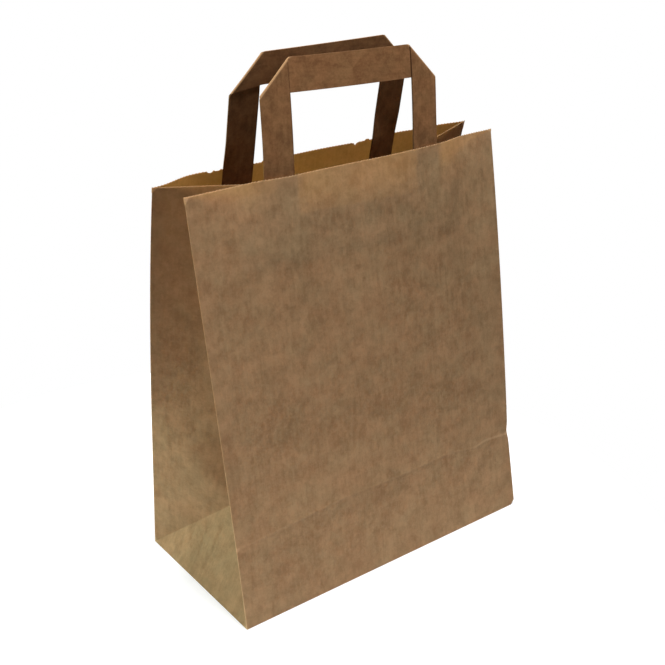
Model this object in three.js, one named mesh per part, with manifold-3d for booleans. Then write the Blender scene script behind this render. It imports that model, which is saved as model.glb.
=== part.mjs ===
// Paper carrier bag with flat folded handles.
// One kraft sheet is folded into a tube with V-shaped side gussets and a block bottom.
// Each handle is a flat paper tape, folded at 45 degrees at both upper corners. Its legs
// lie inside the panel, under a glued reinforcing patch.
// Units are millimetres. +Z is up, -Y is the bag's front and +X its right.

import * as THREE from 'three';
import { mergeGeometries, mergeVertices } from 'three/addons/utils/BufferGeometryUtils.js';
import Module from 'manifold-3d';

// The folded sheet
const BAG_WIDTH = 216;
const BAG_DEPTH = 114;
const PANEL_HEIGHT = 258; // base fold to cut edge, along the paper
const CREASE_HEIGHT = 54; // where the bottom folds flat against the front panel
const PAPER_THICKNESS = 0.14;
const BOTTOM_LAYERS = 3; // flaps glued over each other

// How the standing bag leans: the mouth has half closed
const CREASE_FRONT_Y = -49.7; // front panel at the cross crease
const MOUTH_FRONT_Y = -23.6;
const MOUTH_BACK_LEFT_Y = 10.8;
const MOUTH_BACK_RIGHT_Y = 1.2;
const FRONT_BOW = 5; // the middle of the cut edge stands this far out
const BACK_BOW = 6;

// Flat tape handles
const TAPE_WIDTH = 18.5;
const TAPE_THICKNESS = 0.8;
const HANDLE_SPAN = 120; // over the legs
const LEG_BELOW_RIM = 44; // glued inside the bag
const FRONT_HANDLE_RISE = 60;
const FRONT_HANDLE_TILT = THREE.MathUtils.degToRad(-2.5);
const FRONT_HANDLE_TIP_Y = -21; // where the handle's top edge leans to
const BACK_HANDLE_RISE = 66;
const BACK_HANDLE_TIP_Y = -4;
const BACK_HANDLE_X = -3; // glued a little off the middle

// Reinforcing patches
const PATCH_WIDTH = 160;
const PATCH_HEIGHT = 28;
const PATCH_BELOW_RIM = 24;
const PATCH_THICKNESS = 0.2;
const PATCH_STAND_OFF = 2.9; // clears the flat legs across the panel's bow

// Glue: clearance between a panel and a leg, and what the tape's own layers share
const GLUE_GAP = 0.35;
const GLUED_LAP = 0.05;
const OUTSIDE_LEGS = 4; // the flat tape is set off the bowed panel this far outside its legs

// Facets: enough to follow the bow of the panels
const PANEL_COLUMNS = 8;
const UPPER_ROWS = 4;
const LEVEL_ANGLE = 0.1; // a facet within this of level belongs to the bottom
const SAME_POINT = 1e-3;
const SETTLING_PASSES = 12;

const HALF_WIDTH = BAG_WIDTH / 2;
const HALF_DEPTH = BAG_DEPTH / 2;
const UPPER_HEIGHT = PANEL_HEIGHT - CREASE_HEIGHT;
const LEFT = -1;
const RIGHT = 1;

const wasm = await Module();
wasm.setup();

// A vertical fold of the bag at distance s up the paper. Its stops are [s, y] pairs, and
// what the fold leans over in y it loses in height.
function foldPoint(x, stops, s) {
  let z = 0;
  for (let i = 1; i < stops.length; i++) {
    const [s0, y0] = stops[i - 1];
    const [s1, y1] = stops[i];
    const rise = Math.sqrt((s1 - s0) ** 2 - (y1 - y0) ** 2);
    if (s <= s1) {
      const t = (s - s0) / (s1 - s0);
      return new THREE.Vector3(x, THREE.MathUtils.lerp(y0, y1, t), z + rise * t);
    }
    z += rise;
  }
  throw new RangeError(`no paper at ${s} mm`);
}

const FRONT_STOPS = [[0, -HALF_DEPTH], [CREASE_HEIGHT, CREASE_FRONT_Y], [PANEL_HEIGHT, MOUTH_FRONT_Y]];

function frontFold(side, s) {
  return foldPoint(side * HALF_WIDTH, FRONT_STOPS, s);
}

function backFold(side, s) {
  const mouthY = side === LEFT ? MOUTH_BACK_LEFT_Y : MOUTH_BACK_RIGHT_Y;
  return foldPoint(side * HALF_WIDTH, [[0, HALF_DEPTH], [PANEL_HEIGHT, mouthY]], s);
}

// The panels are ruled: straight up the paper, with a bow that grows towards the mouth.
const bowAcross = (u) => 4 * u * (1 - u);
const bowUp = (s) => Math.max(0, (s - CREASE_HEIGHT) / UPPER_HEIGHT);

function frontPanel(u, s) {
  const point = frontFold(LEFT, s).lerp(frontFold(RIGHT, s), u);
  point.y -= FRONT_BOW * bowAcross(u) * bowUp(s);
  return point;
}

function backPanel(u, s) {
  const point = backFold(RIGHT, s).lerp(backFold(LEFT, s), u);
  point.y += BACK_BOW * bowAcross(u) * bowUp(s);
  return point;
}

// The bottom fold lifts a triangle into the gusset. Its apex is as far from the base edge
// as the crease is, and half the depth away from the front fold at the crease.
function gussetApex(side) {
  const fold = frontFold(side, CREASE_HEIGHT);
  const leanIn = fold.y + HALF_DEPTH;
  const z = (CREASE_HEIGHT ** 2 - HALF_DEPTH * leanIn) / fold.z;
  const inset = Math.sqrt(CREASE_HEIGHT ** 2 - z ** 2);
  return new THREE.Vector3(side * (HALF_WIDTH - inset), 0, z);
}

// Upper end of the valley fold: half the depth away from both corner folds, and as far from
// the apex as the paper is long. The two conditions settle within a few passes.
function gussetTop(side) {
  const front = frontFold(side, PANEL_HEIGHT);
  const back = backFold(side, PANEL_HEIGHT);
  const apex = gussetApex(side);
  const middle = front.clone().lerp(back, 0.5);
  const halfGap = front.distanceTo(back) / 2;
  const top = middle.clone();
  for (let pass = 0; pass < SETTLING_PASSES; pass++) {
    const inset = Math.sqrt(HALF_DEPTH ** 2 - halfGap ** 2 - (middle.z - top.z) ** 2);
    top.x = side * (HALF_WIDTH - inset);
    const run = Math.hypot(top.x - apex.x, top.y - apex.y);
    top.z = apex.z + Math.sqrt(UPPER_HEIGHT ** 2 - run ** 2);
  }
  return top;
}

function valleyFold(side, s) {
  return gussetApex(side).lerp(gussetTop(side), (s - CREASE_HEIGHT) / UPPER_HEIGHT);
}

// A flat sheet of facets folded into place. place(u, v) gives the folded point, with u to
// the right and v up on the side that faces out.
function foldedPanel(columns, rows, place) {
  const panel = new THREE.PlaneGeometry(1, 1, columns, rows);
  const { position, uv } = panel.attributes;
  for (let i = 0; i < position.count; i++) {
    const point = place(uv.getX(i), uv.getY(i));
    position.setXYZ(i, point.x, point.y, point.z);
  }
  panel.deleteAttribute('normal');
  panel.deleteAttribute('uv');
  return panel.toNonIndexed();
}

function foldedTriangle(...corners) {
  return new THREE.BufferGeometry().setFromPoints(corners);
}

// Inward step of a vertex that keeps every facet around it at its own thickness.
function insetStep(facets) {
  const steadiness = 1e-6; // settles the directions that no facet fixes
  const sums = new THREE.Matrix3().set(steadiness, 0, 0, 0, steadiness, 0, 0, 0, steadiness);
  const pull = new THREE.Vector3();
  for (const { normal, thickness } of facets) {
    const { x, y, z } = normal;
    const products = [x * x, x * y, x * z, y * x, y * y, y * z, z * x, z * y, z * z];
    products.forEach((value, i) => {
      sums.elements[i] += value;
    });
    pull.addScaledVector(normal, -thickness);
  }
  return pull.applyMatrix3(sums.invert());
}

// Closed solid of a folded sheet: the outer skin, an inner skin set in by the thickness of
// each facet, and a rim along every cut edge.
function sheetSolid(panels, thicknessOf) {
  const skin = mergeVertices(mergeGeometries(panels), SAME_POINT);
  const index = Array.from(skin.index.array);
  const points = [];
  for (let i = 0; i < skin.attributes.position.count; i++) {
    points.push(new THREE.Vector3().fromBufferAttribute(skin.attributes.position, i));
  }
  const facets = points.map(() => []);
  const edges = new Map();
  for (let i = 0; i < index.length; i += 3) {
    const corners = index.slice(i, i + 3);
    const normal = new THREE.Triangle(...corners.map((c) => points[c])).getNormal(new THREE.Vector3());
    corners.forEach((corner, k) => {
      const next = corners[(k + 1) % 3];
      facets[corner].push({ normal, thickness: thicknessOf(normal) });
      edges.set(`${corner} ${next}`, [corner, next]);
    });
  }
  const count = points.length;
  const inner = points.map((point, i) => point.clone().add(insetStep(facets[i])));
  const triangles = [...index];
  for (let i = 0; i < index.length; i += 3) {
    triangles.push(index[i] + count, index[i + 2] + count, index[i + 1] + count);
  }
  for (const [a, b] of edges.values()) {
    if (!edges.has(`${b} ${a}`)) {
      triangles.push(b, a, a + count, b, a + count, b + count);
    }
  }
  const solid = new THREE.BufferGeometry().setFromPoints([...points, ...inner]);
  solid.setIndex(triangles);
  return solid;
}

// The bag's body: two panels, two gussets and the block bottom, all of one sheet
function bagBody() {
  const panels = [];
  for (const place of [frontPanel, backPanel]) {
    panels.push(foldedPanel(PANEL_COLUMNS, 1, (u, v) => place(u, v * CREASE_HEIGHT)));
    const aboveCrease = (u, v) => place(u, CREASE_HEIGHT + v * UPPER_HEIGHT);
    panels.push(foldedPanel(PANEL_COLUMNS, UPPER_ROWS, aboveCrease));
  }
  for (const side of [LEFT, RIGHT]) {
    const halves = [
      [(s) => frontFold(side, s), (s) => valleyFold(side, s)],
      [(s) => valleyFold(side, s), (s) => backFold(side, s)],
    ];
    const apex = gussetApex(side);
    const frontFoot = frontFold(side, 0);
    const backFoot = backFold(side, 0);
    const triangles = [
      [frontFoot, backFoot, apex],
      [frontFoot, apex, frontFold(side, CREASE_HEIGHT)],
      [backFoot, backFold(side, CREASE_HEIGHT), apex],
    ];
    for (const [first, second] of halves) {
      const [start, end] = side === RIGHT ? [first, second] : [second, first];
      panels.push(foldedPanel(1, UPPER_ROWS, (u, v) => {
        const s = CREASE_HEIGHT + v * UPPER_HEIGHT;
        return start(s).lerp(end(s), u);
      }));
    }
    for (const triangle of triangles) {
      panels.push(foldedTriangle(...(side === RIGHT ? triangle : triangle.reverse())));
    }
  }
  panels.push(foldedPanel(PANEL_COLUMNS, 1, (u, v) => {
    return new THREE.Vector3((0.5 - u) * BAG_WIDTH, (v - 0.5) * BAG_DEPTH, 0);
  }));
  const down = new THREE.Vector3(0, 0, -1);
  const layersOf = (normal) => (normal.angleTo(down) < LEVEL_ANGLE ? BOTTOM_LAYERS : 1);
  return sheetSolid(panels, (normal) => PAPER_THICKNESS * layersOf(normal));
}

// A patch follows its panel, inside the legs of the handle.
function patchSheet(panel, inward) {
  const halfSpan = PATCH_WIDTH / BAG_WIDTH / 2;
  const top = PANEL_HEIGHT - PATCH_BELOW_RIM;
  const sheet = foldedPanel(PANEL_COLUMNS, 1, (u, v) => {
    const point = panel(0.5 + (2 * u - 1) * halfSpan, top - (1 - v) * PATCH_HEIGHT);
    point.y += inward * PATCH_STAND_OFF;
    return point;
  });
  return sheetSolid([sheet], () => PATCH_THICKNESS);
}

// A prism of an outline in X and Z, as deep to the front as to the back
function prismAlongY(corners, depth) {
  const solid = new THREE.ExtrudeGeometry(new THREE.Shape(corners), { depth, bevelEnabled: false });
  return solid.translate(0, 0, -depth / 2).rotateX(Math.PI / 2);
}

function toManifold(geometry) {
  const bare = geometry.clone();
  bare.deleteAttribute('normal');
  bare.deleteAttribute('uv');
  const merged = mergeVertices(bare);
  return new wasm.Manifold(new wasm.Mesh({
    numProp: 3,
    vertProperties: new Float32Array(merged.attributes.position.array),
    triVerts: new Uint32Array(merged.index.array),
  }));
}

function fromManifold(solid) {
  const mesh = solid.getMesh();
  const geometry = new THREE.BufferGeometry();
  geometry.setAttribute('position', new THREE.BufferAttribute(mesh.vertProperties, 3));
  geometry.setIndex(new THREE.BufferAttribute(mesh.triVerts, 1));
  return geometry;
}

// One handle. The tape's two layers are bent sheets, wider than the handle, that run up the
// panel to the rim and then lean on to the tip. The legs' layer lies against the panel and
// the cross piece's layer lies inside it. Each layer is cut to its outline, and the layers
// meet in the folded corners.
function tapeHandle({ panel, inward, rise, tipY, centreX, tilt }) {
  const reach = (HANDLE_SPAN / 2 + OUTSIDE_LEGS) / BAG_WIDTH;
  const across = (u, s) => panel(0.5 - reach, s).lerp(panel(0.5 + reach, s), 2 * u - 0.5);
  const rim = across(0.5, PANEL_HEIGHT);
  const foot = across(0.5, PANEL_HEIGHT - LEG_BELOW_RIM);
  const lean = new THREE.Vector3(0, tipY - rim.y, 0);
  lean.z = Math.sqrt(rise ** 2 - lean.y ** 2);
  const bend = (u, v) => {
    const point = across(u, v === 0 ? PANEL_HEIGHT - LEG_BELOW_RIM : PANEL_HEIGHT);
    return v === 1 ? point.addScaledVector(lean, 2) : point;
  };
  const layer = (stepIn) => {
    const sheet = foldedPanel(PANEL_COLUMNS, 2, bend).translate(0, inward * stepIn, 0);
    return toManifold(sheetSolid([sheet], () => TAPE_THICKNESS));
  };
  const legStep = PAPER_THICKNESS + GLUE_GAP;
  const legLayer = layer(legStep);
  const crossLayer = layer(legStep + TAPE_THICKNESS - GLUED_LAP);

  const outer = HANDLE_SPAN / 2;
  const inner = outer - TAPE_WIDTH;
  const top = lean.z;
  const under = top * (1 - TAPE_WIDTH / rise);
  const bottom = foot.z - rim.z;
  const cutOut = (corners) => {
    const turned = corners.map(([x, z]) => {
      const corner = new THREE.Vector2(x, z).rotateAround(new THREE.Vector2(), tilt);
      return new THREE.Vector2(corner.x + centreX, corner.y + rim.z);
    });
    return toManifold(prismAlongY(turned, 2 * BAG_DEPTH));
  };
  const legCorners = [[outer, bottom], [outer, under], [inner, top], [inner, bottom]];
  const legs = [LEFT, RIGHT].map((side) => {
    return cutOut(legCorners.map(([x, z]) => [side * x, z])).intersect(legLayer);
  });
  const crossCorners = [[-outer, under], [outer, under], [inner, top], [-inner, top]];
  const crossPiece = cutOut(crossCorners).intersect(crossLayer);
  return fromManifold(crossPiece.add(legs[0]).add(legs[1]));
}

const bag = new THREE.Group();

function addPiece(name, geometry, color, roughness) {
  const material = new THREE.MeshStandardMaterial({ color, roughness, metalness: 0 });
  const piece = new THREE.Mesh(geometry, material);
  piece.name = name;
  bag.add(piece);
}

const KRAFT_BROWN = 0xa9875d;
const TAPE_BROWN = 0x9a7852;

const INTO_FRONT = 1;
const INTO_BACK = -1;

addPiece('bag_body', bagBody(), KRAFT_BROWN, 0.85);
addPiece('handle_front', tapeHandle({
  panel: frontPanel,
  inward: INTO_FRONT,
  rise: FRONT_HANDLE_RISE,
  tipY: FRONT_HANDLE_TIP_Y,
  centreX: 0,
  tilt: FRONT_HANDLE_TILT,
}), TAPE_BROWN, 0.8);
addPiece('handle_back', tapeHandle({
  panel: backPanel,
  inward: INTO_BACK,
  rise: BACK_HANDLE_RISE,
  tipY: BACK_HANDLE_TIP_Y,
  centreX: BACK_HANDLE_X,
  tilt: 0,
}), TAPE_BROWN, 0.8);
addPiece('handle_patch_front', patchSheet(frontPanel, INTO_FRONT), KRAFT_BROWN, 0.85);
addPiece('handle_patch_back', patchSheet(backPanel, INTO_BACK), KRAFT_BROWN, 0.85);

export default bag;
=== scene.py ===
# %% [markdown]
# # A kraft paper carrier bag
#
# One sheet of brown kraft paper makes this bag: it is folded into a tube with a V-shaped gusset in
# each side, and its lower end is folded under and glued into a block bottom. Two flat paper tapes are
# its handles, and a paper patch holds the ends of each tape inside the mouth.
#
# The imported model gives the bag's size and place. Everything here is built around it, in metres.

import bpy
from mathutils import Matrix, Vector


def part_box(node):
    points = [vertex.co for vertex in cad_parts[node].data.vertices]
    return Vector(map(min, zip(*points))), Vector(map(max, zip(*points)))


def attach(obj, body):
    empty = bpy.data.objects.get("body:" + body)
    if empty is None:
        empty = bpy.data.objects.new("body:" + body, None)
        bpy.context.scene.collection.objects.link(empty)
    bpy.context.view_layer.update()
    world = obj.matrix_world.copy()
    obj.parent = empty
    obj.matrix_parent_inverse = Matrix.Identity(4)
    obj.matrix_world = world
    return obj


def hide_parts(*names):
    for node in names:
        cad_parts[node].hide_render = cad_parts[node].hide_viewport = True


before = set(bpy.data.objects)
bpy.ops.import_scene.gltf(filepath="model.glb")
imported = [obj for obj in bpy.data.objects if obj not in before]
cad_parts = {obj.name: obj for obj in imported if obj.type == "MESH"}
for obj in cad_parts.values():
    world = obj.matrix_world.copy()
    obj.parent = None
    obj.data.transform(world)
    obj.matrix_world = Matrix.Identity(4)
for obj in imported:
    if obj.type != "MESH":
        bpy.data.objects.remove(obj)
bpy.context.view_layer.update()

# %% Blender's modules
import math

import bmesh
import bpy
from mathutils import Matrix, Vector, noise

MM = 0.001
print("Blender", bpy.app.version_string)

# %% [markdown]
# ## Camera
#
# The bag is seen from its front left, from a little above the rim. A photograph taken from close by
# shows lines that run together towards the back, and the lens and the distance set how much. The
# view is written as an azimuth, an elevation and a distance round a point on the bag's middle line,
# because those are the numbers that one changes when a view is matched. A small roll tips the frame.

# %% Place the camera
CAMERA_TARGET = Vector((0.4, 0.0, 140.1)) * MM
CAMERA_AZIMUTH = math.radians(-35.28)
CAMERA_ELEVATION = math.radians(24.84)
CAMERA_ROLL = math.radians(-1.79)
CAMERA_DISTANCE = 718.8 * MM
CAMERA_LENS = 62.66


def turned_back(azimuth, elevation):
    """The direction from a target to a camera, or to a lamp, at that azimuth and elevation."""
    level = math.cos(elevation)
    return Vector((math.sin(azimuth) * level, -math.cos(azimuth) * level, math.sin(elevation)))


camera_data = bpy.data.cameras.new("camera")
camera_data.lens = CAMERA_LENS
camera = bpy.data.objects.new("camera", camera_data)
bpy.context.scene.collection.objects.link(camera)
to_camera = turned_back(CAMERA_AZIMUTH, CAMERA_ELEVATION)
level_view = to_camera.to_track_quat("Z", "Y").to_matrix().to_4x4()
camera.matrix_world = (
    Matrix.Translation(CAMERA_TARGET + to_camera * CAMERA_DISTANCE)
    @ level_view
    @ Matrix.Rotation(CAMERA_ROLL, 4, "Z")
)
camera_data.clip_start = 10 * MM
bpy.context.scene.camera = camera
print("camera at", [round(c, 4) for c in camera.matrix_world.translation])

# %% [markdown]
# ## The sheet
#
# A folded bag is easiest to get right as a maker does it: draw the flat sheet with its fold lines,
# then fold it. A point of the sheet has a distance u round the tube and a height s along the paper.
# The tube starts and ends on the right of the back panel, where a narrow lap is glued.
# Both numbers also become the UV map, so that the paper's grain follows the sheet round every fold.

# %% Sizes of the sheet
body_low, body_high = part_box("bag_body")
WIDTH = round(body_high.x - body_low.x, 4)
DEPTH = round(body_high.y - body_low.y, 4)
HALF = DEPTH / 2
HEIGHT = 258 * MM
SCORE = 54 * MM
CELL = 3 * MM
PAPER = 0.14 * MM
LAP = 12 * MM
FLAP = HALF + LAP
SEAM = 54 * MM

BACK_LEFT = WIDTH / 2 + SEAM
FRONT_LEFT = BACK_LEFT + DEPTH
FRONT_RIGHT = FRONT_LEFT + WIDTH
BACK_RIGHT = FRONT_RIGHT + DEPTH
ROUND = BACK_RIGHT + WIDTH / 2 - SEAM
CORNERS = (BACK_LEFT, FRONT_LEFT, FRONT_RIGHT, BACK_RIGHT)
VALLEYS = (BACK_LEFT + HALF, FRONT_RIGHT + HALF)
NEAR = 0.01 * MM
print("sheet", round(ROUND + LAP, 4), "by", round(HEIGHT + FLAP, 4))

# %% [markdown]
# ## The four corner folds
#
# A bag that stands open is never a box: the front panel leans back and the back panel leans forward,
# each corner a little differently. Each corner fold is a curve in its side's plane, and its lean is
# given at the bottom, half way up and at the top. The front folds also bend where the score line of
# the block bottom crosses them, and the right one is pinched there.

# %% Follow the corner folds upwards
LEANS = {
    "front_left": (6.1, 7.6, 7.5, -0.4),
    "front_right": (5.0, 6.5, 9.0, 4.6),
    "back_right": (-10.0, -12.0, -16.2, 0.0),
    "back_left": (-8.4, -9.6, -15.0, 0.0),
}
PATH_ROWS = 120
PINCH = 0.9 * MM
PINCH_REACH = 4 * MM


def lean_at(leans, s):
    """A corner fold's lean in radians at height s: a curve through three angles, bent at the score."""
    low, middle, high, below_score = leans
    share = min(s / HEIGHT, 1)
    angle = low * (1 - share) * (1 - 2 * share) + middle * 4 * share * (1 - share)
    angle += high * share * (2 * share - 1)
    if s < SCORE:
        angle += below_score
    return math.radians(angle)


def corner_path(x, y, leans):
    """Points along a corner fold, one for each row of cells."""
    points = [Vector((x, y, 0))]
    for row in range(PATH_ROWS):
        angle = lean_at(leans, (row + 0.5) * CELL)
        points.append(points[-1] + CELL * Vector((0, math.sin(angle), math.cos(angle))))
    return points


def along(points, s):
    """The point at height s on a path that has one point for each row of cells."""
    row = min(int(s / CELL + NEAR), len(points) - 2)
    return points[row].lerp(points[row + 1], s / CELL - row)


PATHS = {
    name: corner_path(
        WIDTH / 2 if "right" in name else -WIDTH / 2,
        -HALF if "front" in name else HALF,
        leans,
    )
    for name, leans in LEANS.items()
}
for row, point in enumerate(PATHS["front_right"]):
    point.x -= PINCH * math.exp(-(((row * CELL - SCORE) / PINCH_REACH) ** 2))
for name, path in PATHS.items():
    print(name, "top", [round(c, 4) for c in along(path, HEIGHT)])

# %% [markdown]
# ## Front and back panels
#
# Each panel is stretched between its two corner folds. The paper is springy, so the front panel bows
# forward towards the mouth, most of all on its right, and the back panel bows back between the
# handle's legs, which hold it in. Small relief shows what lies behind the paper: the patch and the
# legs press through, and the edge of the folded bottom leaves a mark. The score line of the block
# bottom wanders a little, and the paper rises to it from both sides like a very flat roof, highest on
# the left. All of it is about a millimetre high, yet steep light makes it plain to see.

# %% Shape the two large panels
FRONT_SWAYS = ((-54, 3.3, 28), (0, 2.6, 70), (45, -1.2, 40), (74, -4.7, 28))
BACK_SWAYS = (
    (-93, 6.0, 24),
    (-66, -4.2, 26),
    (-26, 3.4, 30),
    (20, -2.6, 40),
    (48, 3.0, 18),
    (68, -2.2, 16),
    (98, -3.4, 20),
)
BOW_GROWTH = 1.25


def swell(value, centre, reach):
    """A smooth hump of height 1."""
    return math.exp(-(((value - centre) / reach) ** 2))


def soft_step(value, edge, width):
    """Rises smoothly from 0 to 1 across a band of that width round the edge."""
    share = min(max((value - edge) / width + 0.5, 0), 1)
    return share * share * (3 - 2 * share)


def soft_span(value, low, low_width, high, high_width):
    """1 between low and high, where each soft edge has its own width."""
    return soft_step(value, low, low_width) * (1 - soft_step(value, high, high_width))


def soft_band(value, low, high, width):
    """1 between low and high, with soft edges."""
    return soft_span(value, low, width, high, width)


def bow_growth(s):
    """How far the bow has grown at height s, from 0 at the score line to 1 at the rim."""
    return max((s - SCORE) / (HEIGHT - SCORE), 0) ** BOW_GROWTH


def bow_out(sways, x, s):
    """How far a panel bows out at x and height s: each sway steps it out or in across a soft band."""
    steps = (step * MM * soft_step(x, place * MM, width * MM) for place, step, width in sways)
    return bow_growth(s) * sum(steps)


def front_sheet(x, s):
    """The front panel's outside at x and height s, without its small relief."""
    point = along(PATHS["front_left"], s).lerp(along(PATHS["front_right"], s), x / WIDTH + 0.5)
    point.y -= bow_out(FRONT_SWAYS, x, s)
    return point


def back_sheet(x, s):
    """The back panel's outside at x and height s, without its small relief."""
    point = along(PATHS["back_left"], s).lerp(along(PATHS["back_right"], s), x / WIDTH + 0.5)
    point.y += bow_out(BACK_SWAYS, x, s)
    return point


for name, panel in (("front", front_sheet), ("back", back_sheet)):
    print(name, "panel's middle at the rim", [round(c, 4) for c in panel(0, HEIGHT)])

# %% Work out the small relief
PATCH_WIDTH = 160 * MM
PATCH_HEIGHT = 28 * MM
PATCH_TOP = HEIGHT - 23 * MM
PATCH_LOW = PATCH_TOP - PATCH_HEIGHT
PATCH_SKEW = math.tan(math.radians(2.6))
TAPE_WIDTH = 18.5 * MM
LEG_CENTRE = 50.75 * MM
LEG_BELOW_RIM = 44 * MM
LEG_PRINT = 0.16 * MM
LEG_PRINT_EDGE = 5 * MM
WAVE = 0.28 * MM
WAVE_LENGTH = Vector((38, 70)) * MM
RIPPLE = 0.4
RIPPLES_PER_WAVE = 2.3
QUIET_EDGE = 18 * MM
SCORE_PATH = (
    (-108, 53.5),
    (-84, 55.0),
    (-51, 57.0),
    (-24, 57.6),
    (12, 56.2),
    (54, 56.6),
    (78, 52.7),
    (87, 54.2),
    (108, 52.0),
)


def slow_wave(x, s, seed):
    """The slow, uneven wave of a large sheet of paper, quiet along its folds."""
    quiet = min(1, (WIDTH / 2 - abs(x)) / QUIET_EDGE, s / QUIET_EDGE)
    place = Vector((x / WAVE_LENGTH.x, s / WAVE_LENGTH.y, seed))
    return WAVE * max(quiet, 0) * (noise.noise(place) + RIPPLE * noise.noise(place * RIPPLES_PER_WAVE))


def leg_print(x, s):
    """How far a handle's leg presses through the paper."""
    left, right = LEG_CENTRE - TAPE_WIDTH / 2, LEG_CENTRE + TAPE_WIDTH / 2
    across = soft_band(abs(x), left, right, LEG_PRINT_EDGE)
    return LEG_PRINT * across * soft_step(s, HEIGHT - LEG_BELOW_RIM, LEG_PRINT_EDGE)


def score_line(x):
    """Height of the score line at x, between the places where it changes direction."""
    for (start, low), (end, high) in zip(SCORE_PATH, SCORE_PATH[1:]):
        if x <= end * MM:
            return (low + (high - low) * (x / MM - start) / (end - start)) * MM
    return SCORE_PATH[-1][1] * MM


print("score line", [round(score_line(x * WIDTH), 4) for x in (-0.5, 0, 0.5)])

# %% Relief of the front panel
PATCH_PRINT = 0.36 * MM
CORNER_PRINT = 0.3 * MM
ROOF = 1.1 * MM
ROOF_LOSS = 3.3
ROOF_ABOVE = 28 * MM
ROOF_BELOW = 16 * MM
SCORE_RIDGE = 0.07 * MM
IMPRINT_HEIGHT = 101 * MM
IMPRINT_SLOPE = 0.1
IMPRINT_RIDGE = 0.07 * MM
IMPRINT_TROUGH = 0.4 * MM
IMPRINT_REACH = 13 * MM
PLEAT = 0.42 * MM


def patch_print(x, s):
    """How far the patch presses through: plain at its right end, and fading out on the left."""
    across = soft_span(x, low=-82 * MM, low_width=22 * MM, high=72 * MM, high_width=9 * MM)
    up = soft_band(s + PATCH_SKEW * x, low=PATCH_LOW + 1 * MM, high=HEIGHT - 14 * MM, width=11 * MM)
    return PATCH_PRINT * across * up


def corner_print(x, s):
    """A second swelling, round the lower right corner of the patch."""
    across = soft_span(x, low=40 * MM, low_width=30 * MM, high=72 * MM, high_width=8 * MM)
    return CORNER_PRINT * across * soft_band(s, low=186 * MM, high=232 * MM, width=16 * MM)


def score_roof(x, s):
    """The flat roof of paper along the score line, and the fine ridge on top of it."""
    above = s - score_line(x)
    roof = max(1 - max(above / ROOF_ABOVE, -above / ROOF_BELOW), 0)
    roof *= ROOF * (1 - ROOF_LOSS * x)
    roof *= soft_span(x, low=-90 * MM, low_width=40 * MM, high=90 * MM, high_width=34 * MM)
    ridge = swell(above, centre=0, reach=1.5 * MM) * soft_step(x, edge=-96 * MM, width=30 * MM)
    return roof + SCORE_RIDGE * ridge


def flap_imprint(x, s):
    """The mark of a folded edge behind the paper: a fine ridge in a wide, shallow trough."""
    from_line = abs(s - IMPRINT_HEIGHT + IMPRINT_SLOPE * x)
    ridge = IMPRINT_RIDGE * swell(from_line, centre=0, reach=2.6 * MM)
    trough = IMPRINT_TROUGH * max(1 - from_line / IMPRINT_REACH, 0)
    return (ridge - trough) * soft_band(x, low=-98 * MM, high=8 * MM, width=30 * MM)


def low_pleat(x, s):
    """A short upright pleat near the foot, to the right of the middle."""
    across = swell(x, centre=24 * MM, reach=3.6 * MM)
    return PLEAT * across * soft_band(s, low=22 * MM, high=52 * MM, width=10 * MM)


def front_relief(x, s):
    """How far the front panel's outside stands proud of its smooth shape."""
    height = slow_wave(x, s, seed=1) + patch_print(x, s) + corner_print(x, s) + leg_print(x, s)
    return height + score_roof(x, s) + flap_imprint(x, s) + low_pleat(x, s)


print("front relief at the score line", round(front_relief(0, score_line(0)), 5))

# %% Relief of the back panel
BACK_PATCH_PRINT = 0.3 * MM
BACK_RIDGE = 0.2 * MM
BACK_WANDER = 19 * MM


def back_relief(x, s):
    """How far the back panel's outside stands proud of its smooth shape."""
    across = soft_band(x, low=-PATCH_WIDTH / 2, high=PATCH_WIDTH / 2, width=9 * MM)
    patch = BACK_PATCH_PRINT * across * soft_band(s, low=PATCH_LOW, high=HEIGHT - 6 * MM, width=9 * MM)
    wander = noise.noise(Vector((x / BACK_WANDER, 3, 3))) * MM
    ridge = BACK_RIDGE * swell(s, centre=SCORE + wander, reach=2.2 * MM)
    return slow_wave(x, s, seed=7) + patch + leg_print(x, s) + ridge


print("back relief at the score line", round(back_relief(0, SCORE), 5))

# %% [markdown]
# ## Gussets
#
# Each side has a fold down its middle that points into the bag, and the block bottom pushes its lower
# part out into a triangle that leans inwards. Paper doesn't stretch, so the triangle's apex and the
# top of the middle fold can't be placed freely: they keep their flat distance from the corner folds.
# The back half can't lie flat between its two folds either. Two soft bends start at one point of the
# back fold: one runs down to the apex and one up to the middle fold, and both show as a change of shade.

# %% Place the gussets' apex and middle fold
SETTLING_PASSES = 60
SIDE_NAMES = {-1: "left", 1: "right"}


def gusset_apex(side):
    """The point where the side's diagonal folds meet, at its flat distance from the corners."""
    back = along(PATHS["back_" + SIDE_NAMES[side]], SCORE)
    height = (SCORE**2 - HALF * (HALF - back.y)) / back.z
    inset = math.sqrt(SCORE**2 - height**2)
    return Vector((side * (WIDTH / 2 - inset), 0, height))


def gusset_top(side, apex):
    """The upper end of the middle fold, pulled to its flat distance from both corners and the apex."""
    front = along(PATHS["front_" + SIDE_NAMES[side]], HEIGHT)
    back = along(PATHS["back_" + SIDE_NAMES[side]], HEIGHT)
    point = (front + back) / 2 - Vector((side * HALF, 0, 0))
    for _ in range(SETTLING_PASSES):
        for anchor, reach in ((front, HALF), (back, HALF), (apex, HEIGHT - SCORE)):
            point = anchor + (point - anchor).normalized() * reach
    return point


APEX = {side: gusset_apex(side) for side in SIDE_NAMES}
MIDDLE_TOP = {side: gusset_top(side, APEX[side]) for side in SIDE_NAMES}
for side, name in SIDE_NAMES.items():
    print(name, "apex", [round(c, 4) for c in APEX[side]], "top", [round(c, 4) for c in MIDDLE_TOP[side]])

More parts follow.
